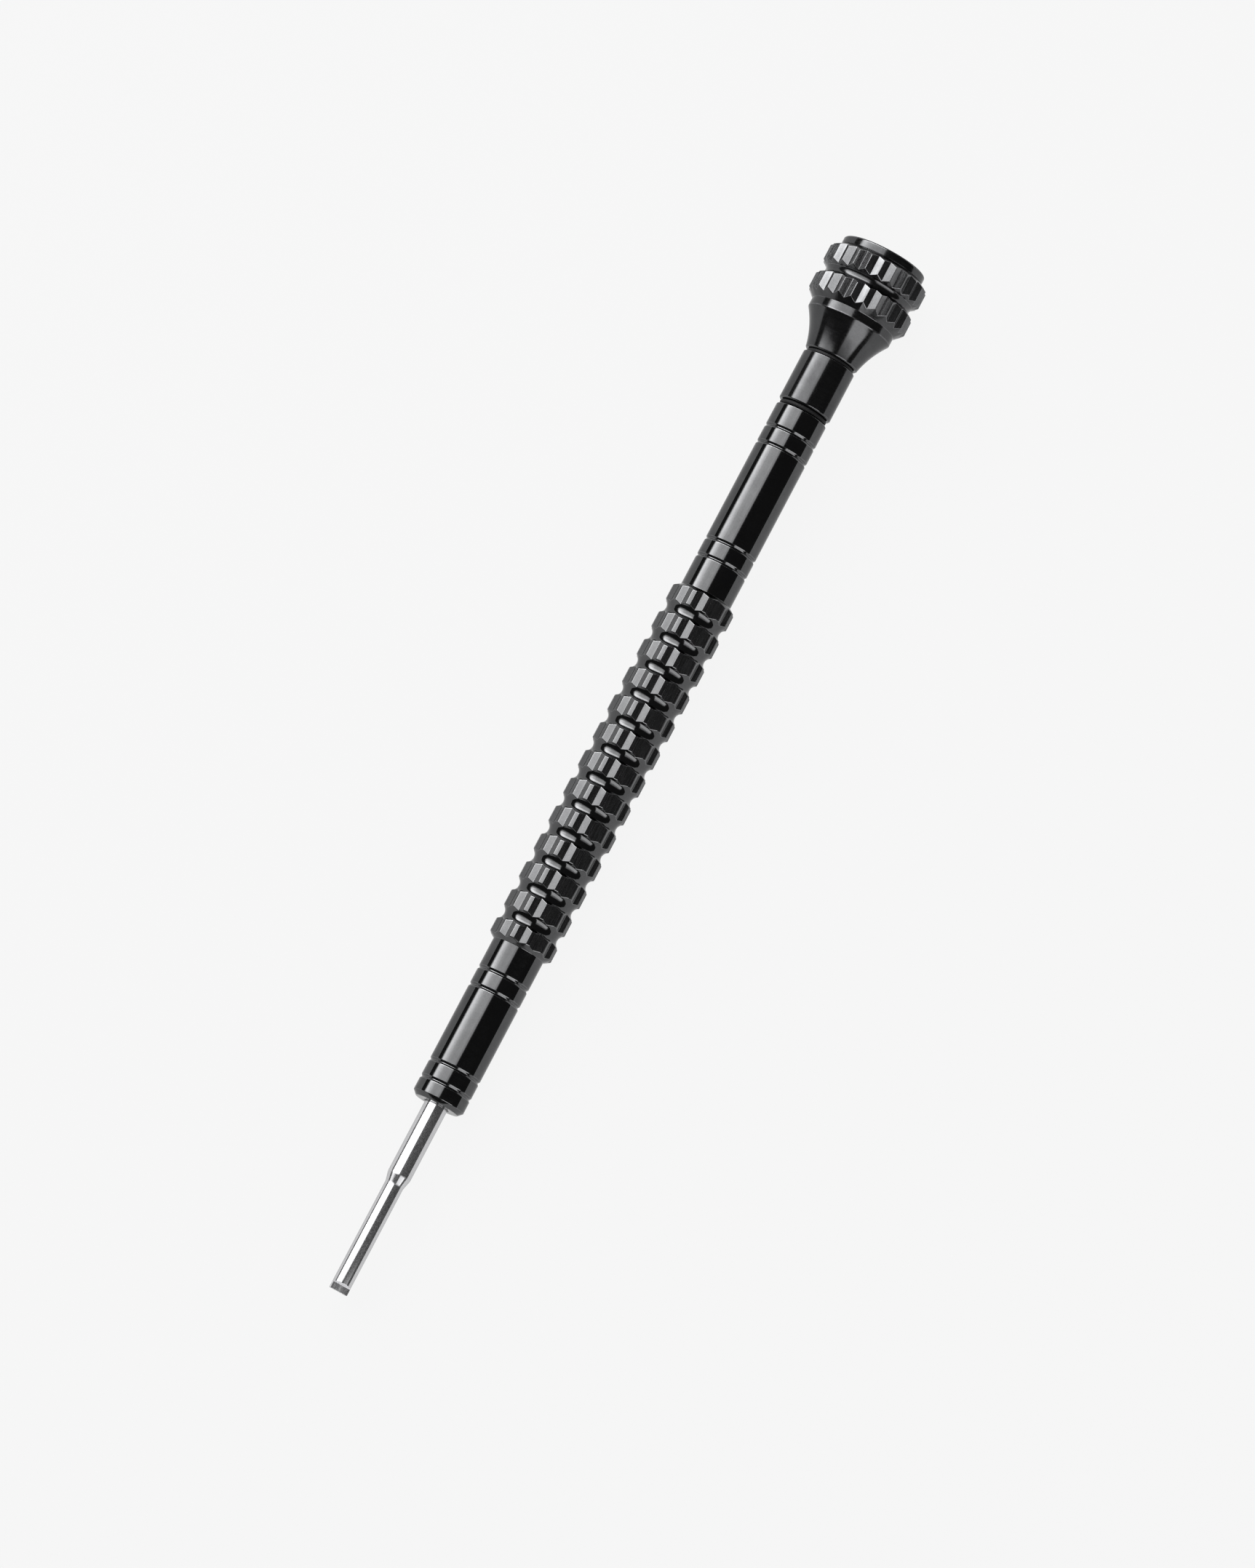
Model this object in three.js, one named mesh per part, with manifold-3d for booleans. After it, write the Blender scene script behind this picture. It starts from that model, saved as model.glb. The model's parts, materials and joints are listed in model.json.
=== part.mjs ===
// A watchmaker's screwdriver lying on a bench, in millimetres, +Z up.
// Every piece is first laid out along the tool's own axis: x is the distance from the blade's tip,
// and r the distance from the axis. The whole tool is then tipped so that it rests on its front grip
// ring and on its head, and moved so that the origin is under its middle.
import * as THREE from "three";
import { mergeVertices } from "three/addons/utils/BufferGeometryUtils.js";
import Module from "manifold-3d";

const wasm = await Module();
wasm.setup();

// Fits
const SEAT_GAP = 0.02; // between pieces that touch
const RUN_GAP = 0.06; // between pieces that turn on each other
const EDGE = 0.1; // small chamfer on turned edges
const DRILL_POINT = 0.6; // length of a drilled hole's cone for each unit of its radius

// Blade
const SHANK_RADIUS = 1.0;
const TIP_RADIUS = 0.8;
const BLADE_LENGTH = 36.0;
const TAPER_START = 9.72;
const TAPER_LENGTH = 0.8;
const DRIVER_LENGTH = 0.58;
const DRIVER_THICKNESS = 0.35;
const SHOULDER_LENGTH = 0.15;
const TIP_ANGLE = THREE.MathUtils.degToRad(-17); // roll of the driver's flats, from +Z towards +Y
const CLAMP_FLAT_START = 20.0; // where the ground flat on the shank begins
const CLAMP_FLAT_DEPTH = 0.15;

// Barrel
const NOSE_X = 16.98;
const NOSE_CHAMFER = 0.36;
const BARREL_RADIUS = 2.25;
const BARREL_END_X = 80.95;
const LINE_POSITIONS_FRONT = [18.54, 20.08, 26.97, 28.52];
const LINE_POSITIONS_REAR = [66.71, 68.27, 77.3, 78.85];
const LINE_HALF_WIDTH = 0.18;
const LINE_DEPTH = 0.13;
const BARREL_SEGMENTS = 36;

// Grip rings
const RING_COUNT = 13;
const RING_PITCH = 2.575;
const RING_RADIUS = 2.795;
const FIRST_RING_FOOT_X = 31.18;
const LAST_RING_FOOT_X = 63.95;
const RING_CHAMFER = 0.38;
const FIRST_GROOVE_X = 33.33;
const GROOVE_RADIUS = 2.42; // to the bottom of the round grooves between rings
const GROOVE_ARC = 0.7; // radius of the tool that turns them
const BARREL_TEETH = 12;
const BARREL_FLUTE_RADIUS = 2.58;
const BARREL_FLUTE_HALF_ANGLE = Math.PI / 18; // the rest of each tooth is a plain land

// Bores
const BLADE_BORE_RADIUS = SHANK_RADIUS + SEAT_GAP;
const BLADE_BORE_END = BLADE_LENGTH + 0.1;
const STORE_BORE_RADIUS = 1.12;
const STORE_BORE_START = 38.6;
const THREAD_RADIUS = 1.5;
const THREAD_START = 75.1;

// Set screw
const SET_SCREW_X = 23.5;
const SET_SCREW_ANGLE = THREE.MathUtils.degToRad(125); // round the axis from +Z towards +Y
const SET_SCREW_RADIUS = 0.7;
const SET_SCREW_OUTER = 2.05;

// Collar and stud
const COLLAR_START = 81.4;
const COLLAR_END = 85.85;
const COLLAR_RADIUS = 2.3;
const COLLAR_NECK_RADIUS = 1.66;
const SLEEVE_RADIUS = 1.3;
const THRUST_WASHER_RADIUS = 2.08;
const SPIGOT_START = 75.3;
const STUD_RADIUS = 0.98;
const STUD_ROOT_RADIUS = 0.88;
const STUD_START = 78.5;

// Head
const HEAD_START = 86.13;
const HEAD_TEETH = 24;
const HEAD_RADIUS = 4.39;
const HEAD_FLUTE_RADIUS = 4.08;
const HEAD_NECK_RADIUS = 3.7;
const HEAD_TOP_X = 95.05;
const TOOL_LENGTH = 95.75;
const RING_A = [90.72, 91.98];
const RING_B = [93.28, 94.57];
const HEAD_GROOVE_X = 92.6;
const HEAD_GROOVE_RADIUS = 3.83;
const HEAD_GROOVE_ARC = 0.5;
const HEAD_GROOVE_RISE = 0.1;
const TOP_CHAMFER_SLOPE = 0.66;
const FLARE_START = [86.22, 2.34];
const FLARE_END = [89.3, HEAD_NECK_RADIUS];
const FLARE_ARC = 8.3; // radius of the flare's hollow curve
const FLARE_STEPS = 6;

// Bearing, 2 x 5 x 2.5 mm
const BEARING_START = 90.2;
const BEARING_WIDTH = 2.5;
const BEARING_END = BEARING_START + BEARING_WIDTH;
const BEARING_MIDDLE = BEARING_START + BEARING_WIDTH / 2;
const BEARING_OUTSIDE = 2.5;
const BALL_COUNT = 7;
const BALL_RADIUS = 0.4;
const BALL_CIRCLE = 1.75;
const RACE_CLEARANCE = 0.04;
const RACE_STEPS = 2;
const INNER_LAND = 1.42;
const OUTER_LAND = 2.08;
const CAGE_INNER = 1.58;
const CAGE_OUTER = 1.92;
const CAGE_HALF_WIDTH = 0.6;
const SHIELD_THICKNESS = 0.12;
const SHIELD_INSET = 0.12;

// Head pocket, cap and retaining parts
const POCKET_RADIUS = BEARING_OUTSIDE + SEAT_GAP;
const CAP_SEAT_X = 93.9;
const CAP_SEAT_RADIUS = 3.0;
const CAP_RADIUS = 3.68;
const CAP_FLOOR = 0.4;
const DISH_RADIUS = 2.9;
const DISH_FLOOR_RADIUS = 1.2;
const DISH_DEPTH = 0.22;
const WASHER_RADIUS = 1.38;
const WASHER_THICKNESS = 0.2;
const SCREW_HEAD_RADIUS = 1.25;
const SCREW_HEAD_HEIGHT = 0.65;
const SCREW_SHANK_RADIUS = 0.58;
const SCREW_LENGTH = 2.3;
const SLOT_WIDTH = 0.3;
const SLOT_DEPTH = 0.3;

const blackChrome = new THREE.MeshStandardMaterial({ color: 0x2a2a2d, roughness: 0.18, metalness: 1 });
const bladeSteel = new THREE.MeshStandardMaterial({ color: 0xb9babd, roughness: 0.25, metalness: 1 });
const brightSteel = new THREE.MeshStandardMaterial({ color: 0xc6c8cb, roughness: 0.15, metalness: 1 });
const brass = new THREE.MeshStandardMaterial({ color: 0xc2a052, roughness: 0.3, metalness: 1 });
const rubber = new THREE.MeshStandardMaterial({ color: 0x101010, roughness: 0.8, metalness: 0 });
const nylon = new THREE.MeshStandardMaterial({ color: 0x1a1a1c, roughness: 0.6, metalness: 0 });

// The tool's axis is X, and angle 0 of every turned piece points up, along +Z.
function turned(outline, segments) {
  const points = outline.map(([x, r]) => new THREE.Vector2(r, x));
  return new THREE.LatheGeometry(points, segments).rotateZ(-Math.PI / 2);
}

// A closed ring with a rectangular section.
function tube(start, end, inner, outer, segments) {
  const outline = [
    [start, inner],
    [start, outer],
    [end, outer],
    [end, inner],
    [start, inner],
  ];
  return turned(outline, segments);
}

// Points on a round groove of the given tool radius, from one height above its bottom to the other.
function arcGroove(middle, bottom, arc, rise, steps) {
  const halfAngle = Math.acos(1 - rise / arc);
  const points = [];
  for (let i = 0; i <= steps; i += 1) {
    const angle = halfAngle * ((2 * i) / steps - 1);
    points.push([middle + arc * Math.sin(angle), bottom + arc * (1 - Math.cos(angle))]);
  }
  return points;
}

// Cuts V flutes along a turned piece: its radius is held under a limit that rises from the bottom of
// each flute to the crest. Flute 0 points up.
function flute(geometry, teeth, bottom, crest, halfAngle) {
  const position = geometry.getAttribute("position");
  const pitch = (2 * Math.PI) / teeth;
  for (let i = 0; i < position.count; i += 1) {
    const y = position.getY(i);
    const z = position.getZ(i);
    const radius = Math.hypot(y, z);
    const angle = Math.atan2(y, z);
    const fromFlute = Math.abs(angle - pitch * Math.round(angle / pitch));
    const limit = bottom + (crest - bottom) * Math.min(1, fromFlute / halfAngle);
    if (radius > limit) {
      position.setY(i, (y * limit) / radius);
      position.setZ(i, (z * limit) / radius);
    }
  }
  return geometry;
}

function solidOf(geometry) {
  const bare = new THREE.BufferGeometry();
  bare.setAttribute("position", geometry.getAttribute("position"));
  bare.setIndex(geometry.getIndex());
  const merged = mergeVertices(bare, 1e-4);
  const triVerts = new Uint32Array(merged.getIndex().array);
  return new wasm.Manifold(
    new wasm.Mesh({ numProp: 3, vertProperties: merged.getAttribute("position").array, triVerts }),
  );
}

function geometryOf(solid) {
  const mesh = solid.getMesh();
  const geometry = new THREE.BufferGeometry();
  geometry.setAttribute("position", new THREE.BufferAttribute(new Float32Array(mesh.vertProperties), 3));
  geometry.setIndex(new THREE.BufferAttribute(new Uint32Array(mesh.triVerts), 1));
  geometry.computeVertexNormals();
  return geometry;
}

function cut(geometry, ...tools) {
  const left = tools.reduce((solid, tool) => solid.subtract(solidOf(tool)), solidOf(geometry));
  return geometryOf(left);
}

// A box from its lowest to its highest corner.
function block(low, high) {
  const size = high.map((value, i) => value - low[i]);
  const middle = high.map((value, i) => (value + low[i]) / 2);
  return new THREE.BoxGeometry(...size).translate(...middle);
}

// A stepped round blade, before its flats are ground.
function roundBlade() {
  const outline = [
    [0, 0],
    [0, TIP_RADIUS],
    [TAPER_START, TIP_RADIUS],
    [TAPER_START + TAPER_LENGTH, SHANK_RADIUS],
    [BLADE_LENGTH - 0.2, SHANK_RADIUS],
    [BLADE_LENGTH, SHANK_RADIUS - 0.2],
    [BLADE_LENGTH, 0],
  ];
  return turned(outline, 24);
}

// The two flats that leave the driver tip, each with a sloping shoulder.
function tipCutter(side) {
  const outline = new THREE.Shape();
  outline.moveTo(-1, DRIVER_THICKNESS / 2);
  outline.lineTo(DRIVER_LENGTH, DRIVER_THICKNESS / 2);
  outline.lineTo(DRIVER_LENGTH + SHOULDER_LENGTH, TIP_RADIUS + 0.2);
  outline.lineTo(-1, TIP_RADIUS + 0.2);
  outline.closePath();
  const cutter = new THREE.ExtrudeGeometry(outline, { depth: 4, bevelEnabled: false });
  cutter.translate(0, 0, -2);
  return cutter.rotateX((side * Math.PI) / 2 - TIP_ANGLE);
}

// The flat that the set screw bears on runs to the blade's rear end.
function clampFlatCutter() {
  const floor = SHANK_RADIUS - CLAMP_FLAT_DEPTH;
  const cutter = block([CLAMP_FLAT_START, -2, floor], [BLADE_LENGTH + 1, 2, floor + 1]);
  return cutter.rotateX(-SET_SCREW_ANGLE);
}

function bladePiece() {
  return cut(roundBlade(), tipCutter(1), tipCutter(-1), clampFlatCutter());
}

// A fine turned line round the barrel.
function turnedLine(x) {
  return [
    [x - LINE_HALF_WIDTH, BARREL_RADIUS],
    [x, BARREL_RADIUS - LINE_DEPTH],
    [x + LINE_HALF_WIDTH, BARREL_RADIUS],
  ];
}

// One end of the grip: the chamfer, with a point where the flutes run out on it.
function gripEnd(foot, direction) {
  const slope = RING_CHAMFER / (RING_RADIUS - BARREL_RADIUS);
  const runout = slope * (BARREL_FLUTE_RADIUS - BARREL_RADIUS);
  const points = [
    [foot, BARREL_RADIUS],
    [foot + direction * runout, BARREL_FLUTE_RADIUS],
    [foot + direction * RING_CHAMFER, RING_RADIUS],
  ];
  return direction > 0 ? points : points.reverse();
}

// The round groove between two rings, with points where the flutes run out on it.
function gripGroove(middle) {
  const edges = arcGroove(middle, GROOVE_RADIUS, GROOVE_ARC, RING_RADIUS - GROOVE_RADIUS, 1);
  const runouts = arcGroove(middle, GROOVE_RADIUS, GROOVE_ARC, BARREL_FLUTE_RADIUS - GROOVE_RADIUS, 2);
  return [edges[0], ...runouts, edges[1]];
}

function gripOutline() {
  const points = gripEnd(FIRST_RING_FOOT_X, 1);
  for (let i = 0; i < RING_COUNT - 1; i += 1) {
    points.push(...gripGroove(FIRST_GROOVE_X + i * RING_PITCH));
  }
  points.push(...gripEnd(LAST_RING_FOOT_X, -1));
  return points;
}

// The barrel has a blind bore for the blade at the front, and at the back a store for the spare blade
// that opens into the thread of the collar.
function barrelOutline() {
  return [
    [BLADE_BORE_END + DRILL_POINT * BLADE_BORE_RADIUS, 0],
    [BLADE_BORE_END, BLADE_BORE_RADIUS],
    [NOSE_X, BLADE_BORE_RADIUS],
    [NOSE_X, BARREL_RADIUS - NOSE_CHAMFER],
    [NOSE_X + NOSE_CHAMFER, BARREL_RADIUS],
    ...LINE_POSITIONS_FRONT.flatMap(turnedLine),
    ...gripOutline(),
    ...LINE_POSITIONS_REAR.flatMap(turnedLine),
    [BARREL_END_X - EDGE, BARREL_RADIUS],
    [BARREL_END_X, BARREL_RADIUS - EDGE],
    [BARREL_END_X, THREAD_RADIUS],
    [THREAD_START, THREAD_RADIUS],
    [THREAD_START, STORE_BORE_RADIUS],
    [STORE_BORE_START, STORE_BORE_RADIUS],
    [STORE_BORE_START - DRILL_POINT * STORE_BORE_RADIUS, 0],
  ];
}

function barrelPiece() {
  const body = turned(barrelOutline(), BARREL_SEGMENTS);
  const fluted = flute(body, BARREL_TEETH, BARREL_FLUTE_RADIUS, RING_RADIUS, BARREL_FLUTE_HALF_ANGLE);
  return cut(fluted, radialCylinder(SET_SCREW_RADIUS + SEAT_GAP, 0, BARREL_RADIUS + 1));
}

// A cylinder on the set screw's axis, from one distance from the tool's axis to another.
function radialCylinder(radius, from, to) {
  const cylinder = new THREE.CylinderGeometry(radius, radius, to - from, 24);
  cylinder.translate(0, (from + to) / 2, 0).rotateX(Math.PI / 2 - SET_SCREW_ANGLE);
  return cylinder.translate(SET_SCREW_X, 0, 0);
}

function setScrewPiece() {
  const inner = SHANK_RADIUS - CLAMP_FLAT_DEPTH + 2 * SEAT_GAP;
  const slot = block(
    [-2, -SLOT_WIDTH / 2, SET_SCREW_OUTER - SLOT_DEPTH],
    [2, SLOT_WIDTH / 2, SET_SCREW_OUTER + 1],
  );
  slot.rotateX(-SET_SCREW_ANGLE).translate(SET_SCREW_X, 0, 0);
  return cut(radialCylinder(SET_SCREW_RADIUS, inner, SET_SCREW_OUTER), slot);
}

function spareBladePiece() {
  const start = STORE_BORE_START + SEAT_GAP;
  return cut(roundBlade(), tipCutter(1), tipCutter(-1)).translate(start, 0, 0);
}

function collarPiece() {
  const neckStart = BARREL_END_X + SEAT_GAP;
  return turned(
    [
      [SPIGOT_START, 0],
      [SPIGOT_START, THREAD_RADIUS - SEAT_GAP - EDGE],
      [SPIGOT_START + EDGE, THREAD_RADIUS - SEAT_GAP],
      [neckStart, THREAD_RADIUS - SEAT_GAP],
      [neckStart, COLLAR_NECK_RADIUS],
      [COLLAR_START, COLLAR_NECK_RADIUS],
      [COLLAR_START, COLLAR_RADIUS - EDGE],
      [COLLAR_START + EDGE, COLLAR_RADIUS],
      [COLLAR_END - EDGE, COLLAR_RADIUS],
      [COLLAR_END, COLLAR_RADIUS - EDGE],
      [COLLAR_END, STUD_ROOT_RADIUS + SEAT_GAP],
      [STUD_START - SEAT_GAP, STUD_ROOT_RADIUS + SEAT_GAP],
      [STUD_START - SEAT_GAP, 0],
    ],
    32,
  );
}

function oRingPiece() {
  const room = COLLAR_START - BARREL_END_X;
  const cord = room / 2 - SEAT_GAP;
  const middle = BARREL_END_X + room / 2;
  const ring = new THREE.TorusGeometry(COLLAR_NECK_RADIUS + SEAT_GAP + cord, cord, 10, 32);
  return ring.rotateY(Math.PI / 2).translate(middle, 0, 0);
}

function studPiece() {
  const end = BEARING_END - SEAT_GAP;
  const hole = SCREW_SHANK_RADIUS + SEAT_GAP;
  const holeEnd = end - SCREW_LENGTH;
  return turned(
    [
      [STUD_START, 0],
      [STUD_START, STUD_ROOT_RADIUS],
      [COLLAR_END + SEAT_GAP, STUD_ROOT_RADIUS],
      [COLLAR_END + SEAT_GAP, STUD_RADIUS],
      [end, STUD_RADIUS],
      [end, hole],
      [holeEnd, hole],
      [holeEnd - DRILL_POINT * hole, 0],
    ],
    24,
  );
}

function sleevePiece() {
  return tube(COLLAR_END + SEAT_GAP, BEARING_START - SEAT_GAP, STUD_RADIUS + SEAT_GAP, SLEEVE_RADIUS, 32);
}

function thrustWasherPiece() {
  const start = COLLAR_END + SEAT_GAP;
  const end = HEAD_START - RUN_GAP / 2;
  return tube(start, end, SLEEVE_RADIUS + RUN_GAP / 2, THRUST_WASHER_RADIUS, 32);
}

// The radius of a raceway at some distance from the bearing's middle, for either ring.
function raceway(side, land) {
  const arc = BALL_RADIUS + RACE_CLEARANCE;
  const halfWidth = Math.sqrt(arc * arc - (land - BALL_CIRCLE) ** 2);
  const points = [];
  for (let i = -RACE_STEPS; i <= RACE_STEPS; i += 1) {
    const x = (halfWidth * i) / RACE_STEPS;
    points.push([BEARING_MIDDLE + x, BALL_CIRCLE + side * Math.sqrt(arc * arc - x * x)]);
  }
  return points;
}

function innerRingPiece() {
  const bore = STUD_RADIUS + SEAT_GAP;
  return turned(
    [
      [BEARING_START, bore],
      [BEARING_START, INNER_LAND],
      ...raceway(-1, INNER_LAND),
      [BEARING_END, INNER_LAND],
      [BEARING_END, bore],
      [BEARING_START, bore],
    ],
    32,
  );
}

function outerRingPiece() {
  return turned(
    [
      [BEARING_END, BEARING_OUTSIDE],
      [BEARING_END, OUTER_LAND],
      ...raceway(1, OUTER_LAND).reverse(),
      [BEARING_START, OUTER_LAND],
      [BEARING_START, BEARING_OUTSIDE],
      [BEARING_END, BEARING_OUTSIDE],
    ],
    32,
  );
}

function ballPiece(index, radius, columns, rows) {
  const ball = new THREE.SphereGeometry(radius, columns, rows);
  const angle = (2 * Math.PI * index) / BALL_COUNT;
  return ball.translate(BEARING_MIDDLE, 0, BALL_CIRCLE).rotateX(-angle);
}

function cagePiece() {
  const low = BEARING_MIDDLE - CAGE_HALF_WIDTH;
  const ring = tube(low, low + 2 * CAGE_HALF_WIDTH, CAGE_INNER, CAGE_OUTER, 28);
  const pockets = [];
  for (let i = 0; i < BALL_COUNT; i += 1) {
    pockets.push(ballPiece(i, BALL_RADIUS + RACE_CLEARANCE, 10, 8));
  }
  return cut(ring, ...pockets);
}

function shieldPiece(start) {
  return tube(start, start + SHIELD_THICKNESS, INNER_LAND + RUN_GAP, OUTER_LAND - SEAT_GAP, 32);
}

function retainingWasherPiece() {
  const start = BEARING_END + SEAT_GAP;
  return tube(start, start + WASHER_THICKNESS, SCREW_SHANK_RADIUS + SEAT_GAP, WASHER_RADIUS, 24);
}

function retainingScrewPiece() {
  const under = BEARING_END + WASHER_THICKNESS + 2 * SEAT_GAP;
  const top = under + SCREW_HEAD_HEIGHT;
  const body = turned(
    [
      [under - SCREW_LENGTH, 0],
      [under - SCREW_LENGTH, SCREW_SHANK_RADIUS],
      [under, SCREW_SHANK_RADIUS],
      [under, SCREW_HEAD_RADIUS],
      [top - EDGE, SCREW_HEAD_RADIUS],
      [top, SCREW_HEAD_RADIUS - EDGE],
      [top, 0],
    ],
    24,
  );
  return cut(body, block([top - SLOT_DEPTH, -2, -SLOT_WIDTH / 2], [top + 1, 2, SLOT_WIDTH / 2]));
}

// A toothed ring of the head between two chamfers, with points where the flutes run out on them.
function headRing([start, end]) {
  const runout = HEAD_RADIUS - HEAD_FLUTE_RADIUS;
  return [
    [start - runout, HEAD_FLUTE_RADIUS],
    [start, HEAD_RADIUS],
    [end, HEAD_RADIUS],
    [end + runout, HEAD_FLUTE_RADIUS],
  ];
}

// The hollow arc from the head's front edge out to its neck.
function flareCurve() {
  const length = FLARE_END[0] - FLARE_START[0];
  const rise = FLARE_END[1] - FLARE_START[1];
  const halfAngle = Math.asin(Math.hypot(length, rise) / (2 * FLARE_ARC));
  const first = Math.atan2(rise, length) - halfAngle;
  const points = [];
  for (let i = 0; i <= FLARE_STEPS; i += 1) {
    const slope = first + (2 * halfAngle * i) / FLARE_STEPS;
    const x = FLARE_START[0] + FLARE_ARC * (Math.sin(slope) - Math.sin(first));
    points.push([x, FLARE_START[1] + FLARE_ARC * (Math.cos(first) - Math.cos(slope))]);
  }
  return points;
}

function headShellPiece() {
  const neckDrop = HEAD_RADIUS - HEAD_NECK_RADIUS;
  const topDrop = (HEAD_RADIUS - CAP_RADIUS) * TOP_CHAMFER_SLOPE;
  const outline = [
    [HEAD_START, SLEEVE_RADIUS + RUN_GAP],
    [HEAD_START, FLARE_START[1] - EDGE],
    ...flareCurve(),
    [RING_A[0] - neckDrop, HEAD_NECK_RADIUS],
    ...headRing(RING_A),
    ...arcGroove(HEAD_GROOVE_X, HEAD_GROOVE_RADIUS, HEAD_GROOVE_ARC, HEAD_GROOVE_RISE, 2),
    ...headRing(RING_B),
    [RING_B[1] + topDrop, CAP_RADIUS],
    [HEAD_TOP_X, CAP_RADIUS],
    [HEAD_TOP_X, CAP_SEAT_RADIUS + SEAT_GAP],
    [CAP_SEAT_X, CAP_SEAT_RADIUS + SEAT_GAP],
    [CAP_SEAT_X, POCKET_RADIUS],
    [BEARING_START - SEAT_GAP, POCKET_RADIUS],
    [BEARING_START - SEAT_GAP, SLEEVE_RADIUS + RUN_GAP],
    [HEAD_START, SLEEVE_RADIUS + RUN_GAP],
  ];
  const body = turned(outline, 2 * HEAD_TEETH);
  return flute(body, HEAD_TEETH, HEAD_FLUTE_RADIUS, HEAD_RADIUS, Math.PI / HEAD_TEETH);
}

// The finger rest: a dished disc whose hollow spigot holds the bearing down in its pocket.
function headCapPiece() {
  const discStart = HEAD_TOP_X + SEAT_GAP;
  const skirtEnd = BEARING_END + SEAT_GAP;
  return turned(
    [
      [CAP_SEAT_X + CAP_FLOOR, 0],
      [CAP_SEAT_X + CAP_FLOOR, OUTER_LAND],
      [skirtEnd, OUTER_LAND],
      [skirtEnd, BEARING_OUTSIDE - SEAT_GAP],
      [CAP_SEAT_X + SEAT_GAP, BEARING_OUTSIDE - SEAT_GAP],
      [CAP_SEAT_X + SEAT_GAP, CAP_SEAT_RADIUS],
      [discStart, CAP_SEAT_RADIUS],
      [discStart, CAP_RADIUS],
      [TOOL_LENGTH - EDGE, CAP_RADIUS],
      [TOOL_LENGTH, CAP_RADIUS - EDGE],
      [TOOL_LENGTH, DISH_RADIUS],
      [TOOL_LENGTH - DISH_DEPTH, DISH_FLOOR_RADIUS],
      [TOOL_LENGTH - DISH_DEPTH, 0],
    ],
    48,
  );
}

// How far the tips of the two lowest teeth reach under the axis when a flute points down.
function restingRadius(radius, fluteHalfAngle) {
  return radius * Math.cos(fluteHalfAngle);
}

// The tilt that lays the tool on its front grip ring and on the head's front ring.
function restingTilt() {
  const front = restingRadius(RING_RADIUS, BARREL_FLUTE_HALF_ANGLE);
  const back = restingRadius(HEAD_RADIUS, Math.PI / HEAD_TEETH);
  return Math.atan((back - front) / (RING_A[0] - FIRST_RING_FOOT_X - RING_CHAMFER));
}

const tool = new THREE.Group();

function add(name, geometry, material) {
  const mesh = new THREE.Mesh(geometry, material);
  mesh.name = name;
  tool.add(mesh);
}

add("blade", bladePiece(), bladeSteel);
add("barrel", barrelPiece(), blackChrome);
add("blade_set_screw", setScrewPiece(), brightSteel);
add("spare_blade", spareBladePiece(), bladeSteel);
add("collar", collarPiece(), blackChrome);
add("o_ring", oRingPiece(), rubber);
add("head_stud", studPiece(), brightSteel);
add("bearing_sleeve", sleevePiece(), brass);
add("thrust_washer", thrustWasherPiece(), nylon);
add("bearing_inner_ring", innerRingPiece(), brightSteel);
add("bearing_outer_ring", outerRingPiece(), brightSteel);
add("bearing_cage", cagePiece(), brass);
for (let i = 0; i < BALL_COUNT; i += 1) {
  add(`bearing_ball_${i + 1}`, ballPiece(i, BALL_RADIUS, 12, 8), brightSteel);
}
add("bearing_shield_front", shieldPiece(BEARING_START + SHIELD_INSET), brightSteel);
add("bearing_shield_rear", shieldPiece(BEARING_END - SHIELD_INSET - SHIELD_THICKNESS), brightSteel);
add("retaining_washer", retainingWasherPiece(), brightSteel);
add("retaining_screw", retainingScrewPiece(), brightSteel);
add("head_shell", headShellPiece(), blackChrome);
add("head_cap", headCapPiece(), blackChrome);

tool.rotation.y = -restingTilt();
const part = new THREE.Group();
part.add(tool);
const box = new THREE.Box3().setFromObject(part, true);
const middle = box.getCenter(new THREE.Vector3());
tool.position.set(-middle.x, -middle.y, -box.min.z);

export default part;
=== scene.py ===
import json
import math

import bmesh
import bpy
import numpy as np
from mathutils import Matrix, Vector


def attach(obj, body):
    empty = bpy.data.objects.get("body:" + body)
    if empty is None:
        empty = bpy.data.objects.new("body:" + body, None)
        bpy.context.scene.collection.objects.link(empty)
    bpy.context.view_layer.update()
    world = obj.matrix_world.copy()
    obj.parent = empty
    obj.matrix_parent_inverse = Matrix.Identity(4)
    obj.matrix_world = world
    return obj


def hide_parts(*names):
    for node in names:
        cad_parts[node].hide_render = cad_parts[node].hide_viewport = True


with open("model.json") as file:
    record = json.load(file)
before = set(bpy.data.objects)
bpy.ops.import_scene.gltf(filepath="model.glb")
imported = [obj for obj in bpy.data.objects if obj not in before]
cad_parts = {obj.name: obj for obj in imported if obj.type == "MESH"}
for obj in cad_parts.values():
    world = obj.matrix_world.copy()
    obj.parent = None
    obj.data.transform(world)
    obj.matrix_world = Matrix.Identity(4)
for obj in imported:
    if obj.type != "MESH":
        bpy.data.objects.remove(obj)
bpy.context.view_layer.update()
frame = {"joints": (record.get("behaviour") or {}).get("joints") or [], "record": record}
scene = bpy.context.scene

MM = 0.001

# The tool's own frame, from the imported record: +X along the axis, origin at the blade's tip.
MOUNTS = {m["name"]: m for m in frame["record"]["mounts"]}
JOINTS = {j["name"]: j for j in frame["joints"]}
TIP = Vector(MOUNTS["blade_tip"]["pos_m"])
AXIS = Vector(JOINTS["head_spin"]["axis"]).normalized()
SIDE = Vector((0.0, 1.0, 0.0))
UP = AXIS.cross(SIDE)

# Fits and edges
SEAT_GAP = 0.02
RUN_GAP = 0.06
EDGE = 0.1
FILLET = 0.03
FILLET_STEPS = 3
RING_FILLET = 0.06
HEAD_FILLET = 0.05
GROOVE_STEPS = 14
COLUMN_TURN = math.radians(2.6)
SHARP = math.radians(38)
MILLED_RELIEF = 10.0
DRILL_POINT = 0.6

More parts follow.
